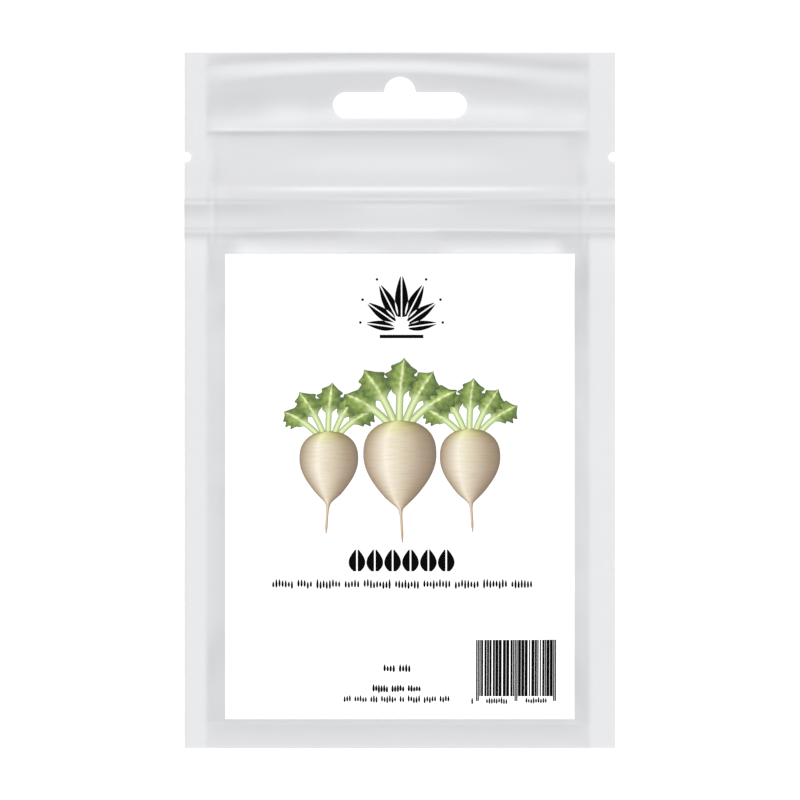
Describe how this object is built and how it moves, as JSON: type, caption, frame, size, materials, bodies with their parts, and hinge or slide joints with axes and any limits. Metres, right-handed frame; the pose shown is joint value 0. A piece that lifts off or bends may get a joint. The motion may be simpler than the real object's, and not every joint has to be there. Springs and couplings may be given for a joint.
{
  "type": "resealable seed packet",
  "caption": "Flat resealable pouch of milky film with a hang slot, tear notches, a press-to-close zip, a front label and seeds inside, lying on its back.",
  "frame": {"origin": "on the surface that the packet lies on, under the middle of its outline", "axes": "+X to the packet's right as read from its front, +Y along the packet towards the header, +Z out of the front"},
  "size_m": [0.103, 0.166, 0.0039],
  "materials": {
    "film": "milky translucent polythene laminate with a soft sheen",
    "zip": "smooth natural polythene",
    "label": "white satin label, printed",
    "seeds": "dull red-brown seed skin"
  },
  "bodies": {
    "root": {"back_film": "film", "front_film": "film", "zip_female_strip": "zip", "zip_male_strip": "zip", "label": "label", "seeds": "seeds"}
  },
  "joints": []
}
